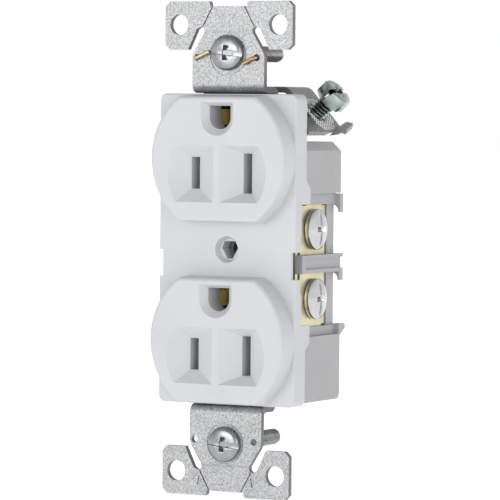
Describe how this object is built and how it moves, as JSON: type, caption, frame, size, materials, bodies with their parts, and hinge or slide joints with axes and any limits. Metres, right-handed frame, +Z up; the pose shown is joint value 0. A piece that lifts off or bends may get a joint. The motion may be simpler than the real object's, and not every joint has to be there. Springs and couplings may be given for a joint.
{
  "type": "duplex wall outlet",
  "caption": "Grounded duplex wall receptacle with screw terminals, clamp plates and a metal mounting strap with break-off ears.",
  "frame": {"origin": "middle of the rectangle of four ear holes, in the plane of the ears' rear faces, on the axis of the wall plate's screw hole", "axes": "+X towards the neutral side (right, seen from the front), +Y into the wall, +Z up with the ground holes above the blade slots"},
  "size_m": [0.0379, 0.0294, 0.1062],
  "materials": {
    "white_nylon": "smooth moulded nylon, low sheen",
    "grey_body": "moulded grey thermoplastic, satin",
    "galvanized_strap": "galvanized sheet steel, mottled, semi-gloss",
    "galvanized_bracket": "galvanized sheet steel, semi-gloss",
    "zinc_screws": "bright zinc-plated steel",
    "nickel_screws": "nickel-plated steel, bright",
    "green_screw": "green-dyed zinc plating, dark satin",
    "brass_bus": "pale brass strip, satin",
    "contact_brass": "golden brass strip, satin",
    "spring_wire": "phosphor bronze wire",
    "clamp_steel": "zinc-plated steel"
  },
  "bodies": {
    "device_frame": {"face_cover": "white_nylon", "rear_housing": "grey_body", "mounting_strap": "galvanized_strap", "ground_bracket": "galvanized_bracket", "strap_rivets": "zinc_screws", "self_ground_wire": "spring_wire", "assembly_screws": "zinc_screws", "ground_contact_upper": "contact_brass", "ground_contact_lower": "contact_brass", "neutral_bus": "brass_bus", "hot_bus": "brass_bus"},
    "ground_screw_turn": {"ground_screw": "green_screw"},
    "top_washer_slide": {"screw_washer_top": "clamp_steel"},
    "top_box_screw_turn": {"box_screw_top": "zinc_screws"},
    "bottom_washer_slide": {"screw_washer_bottom": "clamp_steel"},
    "bottom_box_screw_turn": {"box_screw_bottom": "zinc_screws"},
    "neutral_upper_screw_turn": {"neutral_screw_upper": "nickel_screws"},
    "neutral_upper_clamp_slide": {"neutral_clamp_upper": "clamp_steel"},
    "neutral_lower_screw_turn": {"neutral_screw_lower": "nickel_screws"},
    "neutral_lower_clamp_slide": {"neutral_clamp_lower": "clamp_steel"},
    "hot_upper_screw_turn": {"hot_screw_upper": "nickel_screws"},
    "hot_upper_clamp_slide": {"hot_clamp_upper": "clamp_steel"},
    "hot_lower_screw_turn": {"hot_screw_lower": "nickel_screws"},
    "hot_lower_clamp_slide": {"hot_clamp_lower": "clamp_steel"}
  },
  "joints": [
    {"name": "ground_screw_turn", "type": "hinge", "parent": "device_frame", "child": "ground_screw_turn", "pos_m": [0.01382, 0.0134, 0.02945], "axis": [-0.7513, 0, -0.66], "range_deg": [0, 1580]},
    {"name": "top_washer_slide", "type": "slide", "parent": "device_frame", "child": "top_washer_slide", "axis": [0, -1, 0], "range_m": [0, 0.003]},
    {"name": "top_box_screw_turn", "type": "hinge", "parent": "top_washer_slide", "child": "top_box_screw_turn", "pos_m": [0, 0, 0.0421], "axis": [0, 1, 0], "continuous": true},
    {"name": "bottom_washer_slide", "type": "slide", "parent": "device_frame", "child": "bottom_washer_slide", "axis": [0, -1, 0], "range_m": [0, 0.004]},
    {"name": "bottom_box_screw_turn", "type": "hinge", "parent": "bottom_washer_slide", "child": "bottom_box_screw_turn", "pos_m": [0, 0, -0.04185], "axis": [0, 1, 0], "continuous": true},
    {"name": "neutral_upper_screw_turn", "type": "hinge", "parent": "device_frame", "child": "neutral_upper_screw_turn", "pos_m": [0.0143, 0.0116, 0.00435], "axis": [-1, 0, 0], "range_deg": [0, 1090]},
    {"name": "neutral_upper_clamp_slide", "type": "slide", "parent": "device_frame", "child": "neutral_upper_clamp_slide", "axis": [1, 0, 0], "range_m": [0, 0.0024]},
    {"name": "neutral_lower_screw_turn", "type": "hinge", "parent": "device_frame", "child": "neutral_lower_screw_turn", "pos_m": [0.0143, 0.0116, -0.01065], "axis": [-1, 0, 0], "range_deg": [0, 1090]},
    {"name": "neutral_lower_clamp_slide", "type": "slide", "parent": "device_frame", "child": "neutral_lower_clamp_slide", "axis": [1, 0, 0], "range_m": [0, 0.0024]},
    {"name": "hot_upper_screw_turn", "type": "hinge", "parent": "device_frame", "child": "hot_upper_screw_turn", "pos_m": [-0.0143, 0.0116, 0.00435], "axis": [1, 0, 0], "range_deg": [0, 1090]},
    {"name": "hot_upper_clamp_slide", "type": "slide", "parent": "device_frame", "child": "hot_upper_clamp_slide", "axis": [-1, 0, 0], "range_m": [0, 0.0024]},
    {"name": "hot_lower_screw_turn", "type": "hinge", "parent": "device_frame", "child": "hot_lower_screw_turn", "pos_m": [-0.0143, 0.0116, -0.01065], "axis": [1, 0, 0], "range_deg": [0, 1090]},
    {"name": "hot_lower_clamp_slide", "type": "slide", "parent": "device_frame", "child": "hot_lower_clamp_slide", "axis": [-1, 0, 0], "range_m": [0, 0.0024]}
  ],
  "couplings": [
    {"joint": "neutral_upper_screw_turn", "follows": "neutral_upper_clamp_slide", "rad_per_m": 7915.3},
    {"joint": "neutral_lower_screw_turn", "follows": "neutral_lower_clamp_slide", "rad_per_m": 7915.3},
    {"joint": "hot_upper_screw_turn", "follows": "hot_upper_clamp_slide", "rad_per_m": 7915.3},
    {"joint": "hot_lower_screw_turn", "follows": "hot_lower_clamp_slide", "rad_per_m": 7915.3}
  ]
}
